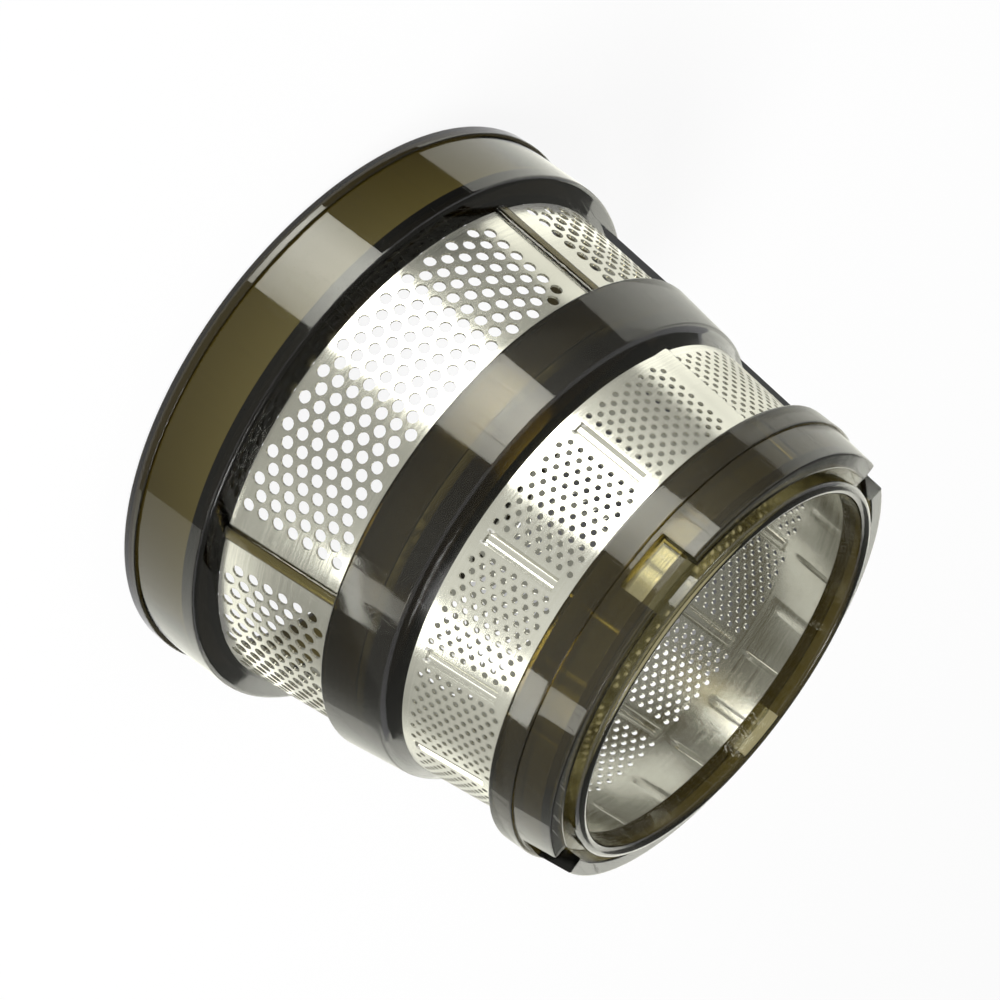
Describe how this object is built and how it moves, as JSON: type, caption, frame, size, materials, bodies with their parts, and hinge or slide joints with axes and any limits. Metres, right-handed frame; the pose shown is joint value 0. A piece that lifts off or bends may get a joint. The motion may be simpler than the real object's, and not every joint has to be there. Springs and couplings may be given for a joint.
{
  "type": "juicer mesh screen",
  "caption": "Tapered strainer sleeve for a slow juicer: perforated steel cones held in smoky plastic rings, open at both ends, with a notched flange and a lip at the narrow end.",
  "frame": {"origin": "centre of the wide ring's flat end face, which the part stands on", "axes": "+Z along the sleeve's axis from the wide end to the narrow end, -Y through the middle of one notch"},
  "size_m": [0.104, 0.104, 0.083],
  "materials": {
    "smoky_plastic": "glossy smoky translucent",
    "screen_steel": "bright stainless sheet"
  },
  "bodies": {
    "root": {"frame": "smoky_plastic", "end_ring": "smoky_plastic", "upper_screen": "screen_steel", "lower_screen": "screen_steel"}
  },
  "joints": []
}
